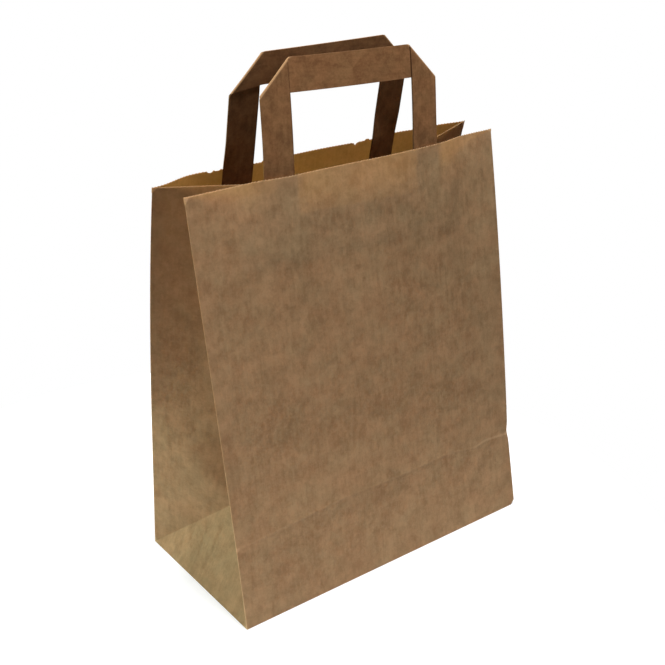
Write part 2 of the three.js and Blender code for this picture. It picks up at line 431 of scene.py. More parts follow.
# %% Shape the gussets
SOFT_BEND = 108 * MM
MIDDLE_BEND = 180 * MM
MIDDLE_BOW = 5 * MM
BOW_TO_ONE = 27 / 4
TRIANGLE_DENT = 0.55 * MM
CREASE_REACH = 1.3 * MM


def middle_fold(side, s):
    """The gusset's middle fold at height s, which bows into the bag, most a third of the way up.

    There share * (1 - share) ** 2 is 4 / 27, and BOW_TO_ONE brings it to 1.
    """
    share = (s - SCORE) / (HEIGHT - SCORE)
    bow = MIDDLE_BOW * BOW_TO_ONE * share * (1 - share) ** 2
    return APEX[side].lerp(MIDDLE_TOP[side], share) - Vector((side * bow, 0, 0))


def bottom_triangle(side, t, s):
    """The triangle that leans inwards over the bottom, with the old middle fold still showing."""
    foot = Vector((side * WIDTH / 2, t - HALF, 0))
    lean = APEX[side] - Vector((side * WIDTH / 2, 0, 0))
    dent = TRIANGLE_DENT * max(1 - abs(t - HALF) / CREASE_REACH, 0) * math.sin(math.pi * min(s / SCORE, 1))
    return foot + lean * (s / SCORE) - Vector((side * dent, 0, 0))


def gusset_front(side, t, s):
    """The front half of a gusset, from the front corner fold to the middle fold."""
    corner = along(PATHS["front_" + SIDE_NAMES[side]], s)
    if s >= SCORE:
        return corner.lerp(middle_fold(side, s), t / HALF)
    diagonal = bottom_triangle(side, s * HALF / SCORE, s)
    return corner.lerp(diagonal, t * SCORE / (s * HALF))


def gusset_back(side, t, s):
    """The back half of a gusset: two flat triangles that meet at the back fold, and a ruled sheet above."""
    corner = PATHS["back_" + SIDE_NAMES[side]]
    share = (DEPTH - t) / HALF
    bend = SOFT_BEND + (SCORE - SOFT_BEND) * share
    upper_bend = SOFT_BEND + (MIDDLE_BEND - SOFT_BEND) * share
    if s <= bend:
        foot = corner[0]
        rise = (s - SCORE * share) / SOFT_BEND
        return foot + (APEX[side] - foot) * share + (along(corner, SOFT_BEND) - foot) * rise
    if s <= upper_bend:
        turn = (s - bend) / (upper_bend - bend)
        return along(corner, SOFT_BEND).lerp(middle_fold(side, SCORE + (MIDDLE_BEND - SCORE) * turn), share)
    climb = (s - upper_bend) / (HEIGHT - upper_bend)
    outer = along(corner, SOFT_BEND + (HEIGHT - SOFT_BEND) * climb)
    inner = middle_fold(side, MIDDLE_BEND + (HEIGHT - MIDDLE_BEND) * climb)
    return outer.lerp(inner, share)


def side_sheet(side, t, s):
    """The outside of a side panel, at t from its front corner fold and height s."""
    if s * HALF <= min(t, DEPTH - t) * SCORE + NEAR * NEAR:
        return bottom_triangle(side, t, s)
    if t <= HALF:
        return gusset_front(side, t, s)
    return gusset_back(side, t, s)


print("left gusset half way up", [round(c, 4) for c in side_sheet(-1, HALF, HEIGHT / 2)])

# %% [markdown]
# ## The block bottom
#
# Under the bag, the ends of the side panels lie flat as two triangles, and the front and back panels
# end in flaps with slanted ends that fold over them and lap along the middle. The lap of the tube's
# seam runs on under the back flap as the lowest layer. The layers are only a paper's thickness apart,
# but their edges are what one sees when the bag is turned over.

# %% Fold the flaps flat
FOLD_LIFT = 0.1 * MM
LAYERS = {"lap": 0.0, "back": 0.16 * MM, "front": 0.32 * MM, "side": 0.48 * MM}


def flap_point(layer, x, y, s):
    """A point of a flap under the bag: x and y on the ground, s below the bottom fold."""
    away = min(-s / CELL, 1)
    return Vector((x, y, FOLD_LIFT + (LAYERS[layer] - FOLD_LIFT) * away))


print("layers of the bottom, from below:", *LAYERS)

# %% Fold any point of the sheet
LAP_LIFT = 0.17 * MM
DENT = 3.2 * MM


def across_back(u):
    """The x of a point of the back panel, which the seam splits in two."""
    return SEAM - u if u <= BACK_LEFT else WIDTH / 2 - (u - BACK_RIGHT)


def dent_corner(point):
    """Pushes in the tip of the front right corner of the bottom, which has had a knock."""
    depth = DENT - (WIDTH / 2 - point.x) - (point.y + HALF) - point.z
    if depth > 0:
        point += Vector((-depth / 2, depth / 2, 0))
    return point


def fold_point(u, s):
    """Folds a point of the flat sheet, as long as every corner is sound."""
    if u <= BACK_LEFT or u >= BACK_RIGHT:
        x = across_back(u)
        on_lap = u > ROUND - NEAR
        if s < 0:
            return flap_point("lap" if on_lap else "back", x, HALF + s, s)
        lift = LAP_LIFT if on_lap else 0
        return back_sheet(x, s) + Vector((0, back_relief(x, s) + lift, 0))
    if FRONT_LEFT <= u <= FRONT_RIGHT:
        x = u - FRONT_LEFT - WIDTH / 2
        if s < 0:
            return flap_point("front", x, -HALF - s, s)
        return front_sheet(x, s) - Vector((0, front_relief(x, s), 0))
    side = -1 if u < FRONT_LEFT else 1
    t = FRONT_LEFT - u if side < 0 else u - FRONT_RIGHT
    if s < 0:
        return flap_point("side", side * (WIDTH / 2 + s), t - HALF, s)
    return side_sheet(side, t, max(s, 0))


def place_on_bag(u, s):
    """Folds a point of the flat sheet to where it sits on the bag."""
    return dent_corner(fold_point(u, s))


print("front right foot", [round(c, 4) for c in place_on_bag(FRONT_RIGHT, 0)])

# %% [markdown]
# ## Cutting the sheet
#
# The sheet starts as one grid of square cells. Planes cut it where a fold doesn't follow the grid:
# along the diagonals of the gussets and the slanted ends of the flaps, and in narrow rows round the
# score line. Points that lie almost on a diagonal are moved onto it first, because a sliver of a cell
# beside a fold would spoil its rounding. The rows near the score line are moved to follow it, so that
# its ridge is a clean line of edges, and its points are marked to be painted pale, most at its right
# end: partly wear, partly a painted highlight on its wrinkles. Then the cells outside the flaps go, and
# the rim gets the fine teeth of a serrated knife, with a few nicks and tufts where it tore. Its points
# are marked pale too, partly as wear and partly as a painted highlight along the cut edge.

# %% Tools for cutting


def cut(sheet, point, normal, keep):
    """Cuts the faces of the sheet that pass the keep test along a straight line."""
    faces = [face for face in sheet.faces if keep(face.calc_center_median())]
    edges = {edge for face in faces for edge in face.edges}
    verts = {vert for face in faces for vert in face.verts}
    bmesh.ops.bisect_plane(
        sheet, geom=[*verts, *edges, *faces], dist=NEAR, plane_co=point, plane_no=normal
    )


def on_side(u):
    """Whether a place round the tube is on one of the two side panels."""
    return BACK_LEFT < u < FRONT_LEFT or FRONT_RIGHT < u < BACK_RIGHT


def from_corner(u):
    """The distance round the tube to the nearest corner fold."""
    return min(abs(u - corner) for corner in CORNERS)


def on_sheet(centre):
    """Whether a cell belongs to the sheet: all of it above the bottom fold, and the flaps below."""
    u, s = centre.x, centre.y
    below = -s if on_side(u) else min(-s, HALF)
    return s > 0 or below < from_corner(u)


# %% Draw the grid
SNAP = 1 * MM
sheet = bmesh.new()
wear_and_painted_light = sheet.verts.layers.float.new("wear_and_painted_light")
columns = round((ROUND + LAP) / CELL)
rows = round((HEIGHT + FLAP) / CELL)
bmesh.ops.create_grid(sheet, x_segments=columns, y_segments=rows, size=0.5)
bmesh.ops.translate(sheet, verts=sheet.verts, vec=(0.5, 0.5, 0))
bmesh.ops.scale(sheet, verts=sheet.verts, vec=(ROUND + LAP, HEIGHT + FLAP, 1))
bmesh.ops.translate(sheet, verts=sheet.verts, vec=(0, -FLAP, 0))
for vert in sheet.verts:
    diagonal = from_corner(vert.co.x) * SCORE / HALF
    if on_side(vert.co.x) and abs(vert.co.y - diagonal) < SNAP:
        vert.co.y = diagonal
print("grid", columns, "by", rows, "cells")

# %% Cut along the folds
SCORE_ROWS = (-3.75, -2.25, -0.75, 0.75, 2.25, 3.75, 5.25)
for corner in CORNERS:
    inward = 1 if corner in (BACK_LEFT, FRONT_RIGHT) else -1
    cut(
        sheet,
        (corner, 0, 0),
        (SCORE, -inward * HALF, 0),
        lambda c, corner=corner, inward=inward: 0 < (c.x - corner) * inward < HALF and 0 < c.y < SCORE,
    )
    for slant in (-1, 1):
        cut(
            sheet,
            (corner, 0, 0),
            (1, slant, 0),
            lambda c, corner=corner: abs(c.x - corner) < HALF and -HALF < c.y < 0,
        )
for valley in VALLEYS:
    for side in (-1, 1):
        cut(
            sheet,
            (valley + side * CREASE_REACH, 0, 0),
            (1, 0, 0),
            lambda c, valley=valley: abs(c.x - valley) < CELL and 0 < c.y < SCORE,
        )
for row in SCORE_ROWS:
    cut(
        sheet,
        (0, SCORE + row * MM, 0),
        (0, 1, 0),
        lambda c: FRONT_LEFT < c.x < FRONT_RIGHT and abs(c.y - SCORE) < 2 * CELL,
    )
print("cut sheet", len(sheet.faces), "faces")

# %% Bring the rows to the score line, and trim the flaps
SCORE_REACH = 24 * MM
SCORE_MARK = 1 * MM
MARK_FADE = 0.35
# Paleness painted along the score line, more at its right end: partly wear, partly a painted highlight on
# its wrinkles.
SCORE_WEAR_AND_HIGHLIGHT = 0.09
RIGHT_WEAR_AND_HIGHLIGHT = 0.24
MARK_START = 0.8
MARK_RANGE = 0.25
for vert in sheet.verts:
    x, above = vert.co.x - FRONT_LEFT - WIDTH / 2, vert.co.y - SCORE
    if abs(x) > WIDTH / 2 + NEAR or abs(above) > SCORE_REACH:
        continue
    vert.co.y += (score_line(x) - SCORE) * (1 - abs(above) / SCORE_REACH)
    if abs(above) < SCORE_MARK:
        wear_and_highlight = SCORE_WEAR_AND_HIGHLIGHT + RIGHT_WEAR_AND_HIGHLIGHT * soft_step(x, edge=78 * MM, width=16 * MM)
        vert[wear_and_painted_light] = MARK_START + MARK_RANGE * wear_and_highlight * (1 - MARK_FADE * abs(above) / SCORE_MARK)
outside = [face for face in sheet.faces if not on_sheet(face.calc_center_median())]
bmesh.ops.delete(sheet, geom=outside, context="FACES")
print("flat sheet", len(sheet.verts), "points", len(sheet.faces), "faces")

# %% Give the rim its teeth and tears
TEETH_PER_CELL = 3
TOOTH = 0.42 * MM
# The rim's points are painted pale: partly wear, partly a painted highlight along the cut edge.
RIM_WEAR_AND_HIGHLIGHT = 0.99
RIM_SKEW = {"back_left": 0.5, "front_left": 1.3, "front_right": -1.1, "back_right": 3.3}
RIM_TEARS = (
    (-60, 1.3, 48),
    (-70, -1.5, 2.2),
    (-66, -0.8, 2.0),
    (-37, 1.3, 1.8),
    (27, -1.6, 1.7),
    (35, 1.2, 2.2),
)


def rim_edge(edge):
    """Whether an edge lies on the sheet's upper rim."""
    return all(abs(vert.co.y - HEIGHT) < NEAR for vert in edge.verts)


rim = [edge for edge in sheet.edges if rim_edge(edge)]
bmesh.ops.subdivide_edges(sheet, edges=rim, cuts=TEETH_PER_CELL - 1)
rim_points = [vert for vert in sheet.verts if abs(vert.co.y - HEIGHT) < NEAR]
skew_stops = [
    (BACK_RIGHT - ROUND, RIM_SKEW["back_right"]),
    *zip(CORNERS, RIM_SKEW.values()),
    (BACK_LEFT + ROUND, RIM_SKEW["back_left"]),
]


def rim_skew(u):
    """How far the rim was cut above or below its height, which runs straight from corner to corner."""
    for (start, low), (end, high) in zip(skew_stops, skew_stops[1:]):
        if start <= u <= end:
            return (low + (high - low) * (u - start) / (end - start)) * MM


for vert in rim_points:
    u = vert.co.x
    vert[wear_and_painted_light] = RIM_WEAR_AND_HIGHLIGHT
    vert.co.y += rim_skew(u)
    if round(u / CELL * TEETH_PER_CELL) % 2:
        vert.co.y -= TOOTH
    if u <= BACK_LEFT or u >= BACK_RIGHT:
        x = across_back(u)
        for place, tear, reach in RIM_TEARS:
            vert.co.y += tear * MM * max(1 - abs(x / MM - place) / reach, 0)
print("rim points", len(rim_points))

# %% [markdown]
# ## Folding the sheet
#
# Each point remembers where it was on the flat sheet before it is moved, in a layer of its own. That
# layer finds the fold lines again after folding, and becomes the UV map at the end. The points on a
# fold are marked to be painted pale: partly the wear of its outside, partly a painted highlight along
# its rounded edge. Then the folds are rounded with a narrow bevel, because paper can't fold to a
# knife edge.

# %% Fold it up
flat_place = sheet.verts.layers.float_vector.new("flat_place")
for vert in sheet.verts:
    vert[flat_place] = vert.co
    vert.co = place_on_bag(vert.co.x, vert.co.y)


def soft_gusset(vert):
    """Whether a point lies inside the back half of a gusset, clear of its folds and the rim."""
    u, s = vert[flat_place].x, vert[flat_place].y
    for corner, inward in ((BACK_LEFT, 1), (BACK_RIGHT, -1)):
        t = (u - corner) * inward
        if NEAR < t < HALF - NEAR and t * SCORE / HALF + NEAR < s < HEIGHT - 2 * CELL:
            return True
    return False


SOFTENING_PASSES = 6
soft_points = [vert for vert in sheet.verts if soft_gusset(vert)]
for _ in range(SOFTENING_PASSES):
    bmesh.ops.smooth_vert(
        sheet, verts=soft_points, factor=0.5, use_axis_x=True, use_axis_y=True, use_axis_z=True
    )
print("folded", len(sheet.verts), "points; softened", len(soft_points))

# %% Round the folds
FOLD_ROUNDING = 0.4 * MM
FOLD_TOP = HEIGHT - 1.5 * CELL
# How pale each kind of fold is painted: partly wear, partly a painted highlight along the rounded fold.
FOLD_STRENGTHS = {"corner": 1.0, "bottom": 0.9, "diagonal": 0.86, "middle": 0.84}


def on_line(value, line):
    """Whether a flat measure lies on a fold line."""
    return abs(value - line) < NEAR


def on_diagonal(point, corner):
    """Whether a flat point lies on a diagonal that starts at the foot of a corner fold."""
    return abs(abs(point.x - corner) * SCORE - point.y * HALF) < NEAR * HALF


def fold_strength(first, second):
    """How pale the fold that an edge lies on is painted, as wear and a painted highlight, from 0 for no
    fold to 1 for the corner folds.
    """
    low, high = sorted((first.y, second.y))
    for corner in CORNERS:
        if on_line(first.x, corner) and on_line(second.x, corner) and -NEAR < low < FOLD_TOP:
            return FOLD_STRENGTHS["corner"]
        slanted = on_diagonal(first, corner) and on_diagonal(second, corner)
        slanted = slanted and (first.x - corner) * (second.x - corner) >= 0
        if slanted and low > -NEAR and high < SCORE + NEAR and on_side((first.x + second.x) / 2):
            return FOLD_STRENGTHS["diagonal"]
    if on_line(first.y, 0) and on_line(second.y, 0):
        return FOLD_STRENGTHS["bottom"]
    for valley in VALLEYS:
        if on_line(first.x, valley) and on_line(second.x, valley) and SCORE - NEAR < low < FOLD_TOP:
            return FOLD_STRENGTHS["middle"]
    return 0.0


fold_edges = {}
for edge in sheet.edges:
    strength = fold_strength(*(vert[flat_place] for vert in edge.verts))
    if strength:
        fold_edges[edge] = strength
for edge, strength in fold_edges.items():
    for vert in edge.verts:
        vert[wear_and_painted_light] = max(vert[wear_and_painted_light], strength)
sheet.normal_update()
bevelled = bmesh.ops.bevel(
    sheet,
    geom=list(fold_edges),
    offset=FOLD_ROUNDING,
    offset_type="OFFSET",
    segments=2,
    profile=0.5,
    affect="EDGES",
    material=-1,
    clamp_overlap=False,
)
print("rounded folds", len(bevelled["faces"]), "faces")

# %% [markdown]
# ## From mesh to piece
#
# Every paper piece is finished in the same way: the sheet gets its thickness, the cut edges stay
# crisp and everything else is shaded smooth. Weighted normals keep the large flat cells flat right up
# to a fold, which plain smooth shading would blur.

# %% Finish a sheet as a piece
SHARP_ANGLE = math.radians(50)


def finish_sheet(name, sheet, flat_layer, thickness):
    """Turns a folded bmesh into an object with thickness, a UV map in metres and clean shading."""
    sheet.normal_update()
    bmesh.ops.solidify(sheet, geom=sheet.faces[:], thickness=thickness)
    sheet.normal_update()
    uv = sheet.loops.layers.uv.new("sheet")
    for face in sheet.faces:
        face.smooth = True
        for loop in face.loops:
            loop[uv].uv = loop.vert[flat_layer].xy
    for edge in sheet.edges:
        edge.smooth = edge.calc_face_angle(0) < SHARP_ANGLE
    mesh = bpy.data.meshes.new(name)
    sheet.to_mesh(mesh)
    sheet.free()
    piece = bpy.data.objects.new(name, mesh)
    bpy.context.scene.collection.objects.link(piece)
    weighted = piece.modifiers.new("even_shading", "WEIGHTED_NORMAL")
    weighted.keep_sharp = True
    print(name, len(mesh.vertices), "points", len(mesh.polygons), "faces")
    return piece


body = finish_sheet("folded_body", sheet, flat_place, PAPER)

# %% [markdown]
# ## Handles
#
# A handle is one flat tape of folded and glued paper. It runs up as a leg, is folded over at 45
# degrees, crosses, is folded again and runs down as the other leg, so the corners are slanted folds
# and the cross piece lies on the bag's side of the legs. The tape is drawn flat and rolled over each
# fold line round a small half circle. Then it is laid on the panel: below the rim it follows the paper, and
# above it the legs run on and curl. The slanted folds, and a little of the grip's edges, are painted
# pale, partly as wear and partly as a painted highlight. The inner edges of the legs are painted dark:
# a painted shadow of the gap where the legs stand off the cross piece.

# %% Roll a flat tape over its two folds
TAPE_THICKNESS = 0.72 * MM
TAPE_LAYER = 1.5 * MM
TAPE_CELLS_ACROSS = 6
ROLL_STEPS = 6
SLANT = math.sqrt(0.5)
# The first two marks are pale, on the slanted folds and the grip's edges: partly wear, partly a painted
# highlight. The third is a painted shadow along the legs' inner edges.
FOLD_WEAR_AND_HIGHLIGHT = 0.92
EDGE_WEAR_AND_HIGHLIGHT = 0.83
EDGE_PAINTED_SHADE = -1.0


def roll_over(distance):
    """A sheet folded flat at distance 0: how far it lies from the fold line, and at which layer."""
    quarter = math.pi * TAPE_LAYER / 4
    if distance <= -quarter:
        return distance, 0
    if distance >= quarter:
        return -distance, TAPE_LAYER
    angle = (distance + quarter) / (TAPE_LAYER / 2)
    return -quarter + TAPE_LAYER / 2 * math.sin(angle), TAPE_LAYER / 2 * (1 - math.cos(angle))


def fold_tape(p, q, leg_length):
    """A point of the flat tape, p from the middle and q across, as x, height and layer of the handle."""
    side = 1 if p > 0 else -1
    run = LEG_CENTRE + leg_length - abs(p)
    x, height = -LEG_CENTRE - q, run
    distance = (run - leg_length + q) * SLANT
    rolled, layer = roll_over(distance)
    x += (distance - rolled) * SLANT
    height -= (distance - rolled) * SLANT
    return -side * x, height - LEG_BELOW_RIM, layer


def tape_wear_and_light(p, q):
    """Marks on the tape: pale on the slanted folds and a little on the grip, as wear and a painted
    highlight, and a painted shadow along the legs' inner edges.
    """
    distance = (LEG_CENTRE - abs(p) + q) * SLANT
    if abs(distance) < math.pi * TAPE_LAYER / 4 + NEAR:
        return FOLD_WEAR_AND_HIGHLIGHT
    if abs(q) < TAPE_WIDTH / 2 - NEAR:
        return 0
    # A painted shadow along the legs' inner edges, where the legs stand off the cross piece.
    if q < 0 and abs(p) > LEG_CENTRE - TAPE_WIDTH / 2:
        return EDGE_PAINTED_SHADE
    return EDGE_WEAR_AND_HIGHLIGHT if abs(p) < LEG_CENTRE else 0


def flat_tape(leg_length):
    """The flat tape, cut into cells, with narrow strips along its two fold lines."""
    tape = bmesh.new()
    length = 2 * (leg_length + LEG_CENTRE)
    bmesh.ops.create_grid(
        tape, x_segments=round(length / CELL), y_segments=TAPE_CELLS_ACROSS, size=0.5
    )
    bmesh.ops.scale(tape, verts=tape.verts, vec=(length, TAPE_WIDTH, 1))
    for side in (-1, 1):
        for step in range(ROLL_STEPS + 1):
            distance = math.pi * TAPE_LAYER / 4 * (2 * step / ROLL_STEPS - 1)
            place = (side * (LEG_CENTRE - distance / SLANT), 0, 0)
            bmesh.ops.bisect_plane(
                tape,
                geom=[*tape.verts, *tape.edges, *tape.faces],
                dist=NEAR,
                plane_co=place,
                plane_no=(1, -side, 0),
            )
    return tape


# %% Two handles and how each one stands
LEG_CLEARANCE = 0.3 * MM
LEG_OFFSET = PAPER + LEG_CLEARANCE + TAPE_THICKNESS / 2
SETTLE = 20 * MM
GAP_BELOW_RIM = -9 * MM
GAP_REACH = 16 * MM
HANDLES = {
    "front": {
        "panel": front_sheet,
        "inward": 1,
        "rise": 60.2 * MM,
        "lean": math.radians(3.6),
        "curl": 0.68,
        "curl_start": 0.0,
        "tilt": math.radians(-2.6),
        "centre": 1.75 * MM,
        "spread": 0.984,
        "bow": 2.0 * MM,
        "gaps": (2.0 * MM, 0.6 * MM),
        "droop": 0.0,
    },
    "back": {
        "panel": back_sheet,
        "inward": -1,
        "rise": 68.0 * MM,
        "lean": math.radians(-13.0),
        "curl": 2.37,
        "curl_start": 40 * MM,
        "tilt": math.radians(-0.6),
        "centre": -3.1 * MM,
        "spread": 1.0,
        "bow": 1.0 * MM,
        "gaps": (0.0, 0.0),
        "droop": 0.15,
    },
}
print("handles rise", [handle["rise"] for handle in HANDLES.values()])

# %% Lay the handles on their panels


def lay_on_panel(handle, x, height, layer):
    """A point of the folded handle where it sits on the bag."""
    panel, centre, turn = handle["panel"], handle["centre"], handle["tilt"]
    height -= handle["droop"] * max(TAPE_WIDTH / 2 - LEG_CENTRE - x, 0)
    x *= handle["spread"]
    x, height = x * math.cos(turn) - height * math.sin(turn), height * math.cos(turn) + x * math.sin(turn)
    span = (x / LEG_CENTRE + 1) / 2
    left_gap, right_gap = handle["gaps"]
    gap = (left_gap + (right_gap - left_gap) * span) * soft_step(height, GAP_BELOW_RIM, GAP_REACH)
    x += centre
    point = panel(x, HEIGHT + min(height, 0))
    if height > 0:
        left, right = panel(centre - LEG_CENTRE, HEIGHT), panel(centre + LEG_CENTRE, HEIGHT)
        free = left.lerp(right, span) - Vector((0, handle["bow"] * 4 * span * (1 - span), 0))
        point = point.lerp(free, soft_step(height, SETTLE / 2, SETTLE))
        point += height * Vector((0, math.sin(handle["lean"]), math.cos(handle["lean"])))
        point.y += handle["curl"] * max(height - handle["curl_start"], 0) ** 2
    return point + Vector((0, handle["inward"] * (LEG_OFFSET + layer + gap), 0))


def make_handle(name, handle):
    """Builds one handle from its flat tape."""
    leg_length = LEG_BELOW_RIM + handle["rise"] - TAPE_WIDTH / 2
    tape = flat_tape(leg_length)
    flat_layer = tape.verts.layers.float_vector.new("flat_place")
    wear_and_light_layer = tape.verts.layers.float.new("wear_and_painted_light")
    for vert in tape.verts:
        p, q = vert.co.x, vert.co.y
        vert[flat_layer] = Vector((q, p, 0))
        vert[wear_and_light_layer] = tape_wear_and_light(p, q)
        vert.co = lay_on_panel(handle, *fold_tape(p, q, leg_length))
        vert.co.y += handle["inward"] * -TAPE_THICKNESS / 2
    if handle["inward"] < 0:
        bmesh.ops.reverse_faces(tape, faces=tape.faces[:])
    return finish_sheet(name, tape, flat_layer, TAPE_THICKNESS)


front_handle = make_handle("front_handle", HANDLES["front"])
back_handle = make_handle("back_handle", HANDLES["back"])

# %% [markdown]
# ## Patches
#
# A rectangle of the same paper is glued over the ends of each handle's legs, inside the mouth and a
# little under the rim, at the same small tilt as the handle. It lies on the panel and steps up over
# the two legs, so it is the panel's own shape moved inwards.

# %% Glue the patches over the legs
PATCH_THICKNESS = 0.18 * MM
PATCH_CLEARANCE = 0.3 * MM
PATCH_STEP = 5 * MM
STEP_HEIGHT = LEG_CLEARANCE + TAPE_THICKNESS


def make_patch(name, handle):
    """Builds one patch from a flat rectangle."""
    patch = bmesh.new()
    bmesh.ops.create_grid(
        patch,
        x_segments=round(PATCH_WIDTH / CELL * 2),
        y_segments=round(PATCH_HEIGHT / CELL),
        size=0.5,
    )
    bmesh.ops.scale(patch, verts=patch.verts, vec=(PATCH_WIDTH, PATCH_HEIGHT, 1))
    flat_layer = patch.verts.layers.float_vector.new("flat_place")
    turn = handle["tilt"]
    for vert in patch.verts:
        vert[flat_layer] = vert.co
        across, below = vert.co.x, vert.co.y + PATCH_TOP - PATCH_HEIGHT / 2 - HEIGHT
        from_leg = abs(abs(across) - LEG_CENTRE) - TAPE_WIDTH / 2
        over_leg = 1 - soft_step(from_leg, PATCH_STEP / 2, PATCH_STEP)
        away = PAPER + PATCH_CLEARANCE + STEP_HEIGHT * over_leg + PATCH_THICKNESS
        x = handle["centre"] + handle["spread"] * across * math.cos(turn) - below * math.sin(turn)
        s = HEIGHT + below * math.cos(turn) + across * math.sin(turn)
        vert.co = handle["panel"](x, s) + Vector((0, handle["inward"] * away, 0))
    if handle["inward"] > 0:
        bmesh.ops.reverse_faces(patch, faces=patch.faces[:])
    return finish_sheet(name, patch, flat_layer, PATCH_THICKNESS)


front_patch = make_patch("front_patch", HANDLES["front"])
back_patch = make_patch("back_patch", HANDLES["back"])

# %% [markdown]
# ## Kraft paper
#
# Unbleached kraft is a felt of wood fibres. Close up it has fine streaks along the web, a cloudy
# uneven thickness, and flecks of darker and paler fibre, and it is quite matt. Its hue drifts a little
# between warm and cool. One sheet lets some light through, and what comes out is orange, so the
# inside of the bag glows. The papers of the body, the patches and the tape differ only in their colours
# and in how much light they let through. So the fibres are one node group that reads the flat sheet's
# own coordinates, and the marks on the points are another: it pales folds and edges, partly as wear and
# partly as a painted highlight, and paints a shadow on the inner edges of the legs. Each paper sets its
# own colours in them.

# %% Node helpers


def add_node(tree, kind, *sources, **settings):
    """Adds a node. A setting names a property or an input of it; sources fill its inputs in their order.

    An input takes a value, or the output of another node, which is linked to it.
    """
    node = tree.nodes.new(kind)
    inputs = dict(enumerate(sources))
    for name, value in settings.items():
        if name in node.bl_rna.properties:
            setattr(node, name, value)
        else:
            inputs[name.replace("_", " ")] = value
    for place, value in inputs.items():
        if isinstance(value, bpy.types.NodeSocket):
            tree.links.new(value, node.inputs[place])
        else:
            node.inputs[place].default_value = value
    return node


def calculate(tree, operation, *sources):
    """The result of a math node."""
    return add_node(tree, "ShaderNodeMath", *sources, operation=operation).outputs[0]


def mix_colors(tree, share, first, second, blend_type="MIX"):
    """The result of a node that mixes a share of the second colour into the first."""
    mix = add_node(
        tree, "ShaderNodeMix", data_type="RGBA", blend_type=blend_type, Factor=share, A=first, B=second
    )
    return mix.outputs["Result"]


def srgb(red, green, blue):
    """A colour as it looks on screen, from 0 to 255, as the linear colour that a node takes."""

    def linear(value):
        value /= 255
        return value / 12.92 if value <= 0.04045 else ((value + 0.055) / 1.055) ** 2.4

    return (linear(red), linear(green), linear(blue), 1)


# %% Kraft fibres as a node group


def make_fibres():
    """Streaks, clouds, grain and flecks of kraft paper, from a place on the flat sheet in metres."""
    tree = bpy.data.node_groups.new("kraft_fibres", "ShaderNodeTree")
    tree.interface.new_socket("Sheet Place", in_out="INPUT", socket_type="NodeSocketVector")
    for name in ("Shade", "Coolness", "Flecks", "Height"):
        tree.interface.new_socket(name, in_out="OUTPUT", socket_type="NodeSocketFloat")
    place = add_node(tree, "NodeGroupInput").outputs["Sheet Place"]

    def layer(scale, detail, roughness):
        scaled = add_node(tree, "ShaderNodeMapping", Vector=place, Scale=scale).outputs["Vector"]
        texture = add_node(
            tree, "ShaderNodeTexNoise", Vector=scaled, Scale=1.0, Detail=detail, Roughness=roughness
        )
        return texture.outputs["Fac"]

    def blend(first, first_weight, second, second_weight):
        scaled = calculate(tree, "MULTIPLY", first, first_weight)
        return calculate(tree, "MULTIPLY_ADD", second, second_weight, scaled)

    streaks = layer((480, 55, 1), 2, 0.5)
    clouds = layer((30, 23, 1), 3, 0.55)
    mottle = layer((105, 90, 1), 3, 0.6)
    blots = layer((300, 250, 3), 2, 0.6)
    grain = layer((860, 760, 1), 2, 0.7)
    fibres = layer((4200, 520, 1), 2, 0.5)
    hue = layer((60, 66, 7), 2, 0.5)
    soft = blend(clouds, 0.14, mottle, 0.3)
    fine = blend(streaks, 0.14, grain, 0.2)
    shade = blend(blend(soft, 1.0, blots, 0.22), 1.0, fine, 1.0)
    height = blend(blend(blots, 0.25, fibres, 0.3), 1.0, grain, 0.45)
    flecks = add_node(tree, "ShaderNodeMapRange", Value=fibres, From_Min=0.62, From_Max=0.76)
    cool = add_node(tree, "ShaderNodeMapRange", Value=hue, From_Min=0.38, From_Max=0.62)
    add_node(
        tree,
        "NodeGroupOutput",
        Shade=shade,
        Coolness=cool.outputs["Result"],
        Flecks=flecks.outputs["Result"],
        Height=height,
    )
    return tree


FIBRES = make_fibres()
print("fibres", len(FIBRES.nodes), "nodes")

# %% Pale and dark marks as a node group: wear, painted highlight and painted shade


def make_wear_and_light():
    """Pales a colour where the points are marked, for wear and a painted highlight, and paints a shadow
    where the mark is below zero.
    """
    tree = bpy.data.node_groups.new("paper_wear_and_light", "ShaderNodeTree")
    tree.interface.new_socket("Wear", in_out="INPUT", socket_type="NodeSocketFloat")
    for name in ("Color", "Worn Color", "Dark Color"):
        tree.interface.new_socket(name, in_out="INPUT", socket_type="NodeSocketColor")
    tree.interface.new_socket("Color", in_out="OUTPUT", socket_type="NodeSocketColor")
    start = add_node(tree, "NodeGroupInput").outputs
    color = start["Color"]
    for tint, sign in (("Worn Color", 1), ("Dark Color", -1)):
        low, high = sign * MARK_START, sign * (MARK_START + MARK_RANGE)
        share = add_node(tree, "ShaderNodeMapRange", Value=start["Wear"], From_Min=low, From_Max=high)
        color = mix_colors(tree, share.outputs["Result"], color, start[tint])
    add_node(tree, "NodeGroupOutput", Color=color)
    return tree


WEAR_AND_LIGHT = make_wear_and_light()
print("wear", len(WEAR_AND_LIGHT.nodes), "nodes")

# %% Mix the papers
COOL_TINT = (0.94, 1.0, 1.01, 1)
SHADE_RANGE = (0.42, 0.58)
FLECK_SHARE = 0.35
GRAIN_STRENGTH = 0.25
GRAIN_DEPTH = 0.06 * MM
ROUGHNESS = 0.82
SHEEN = 0.06


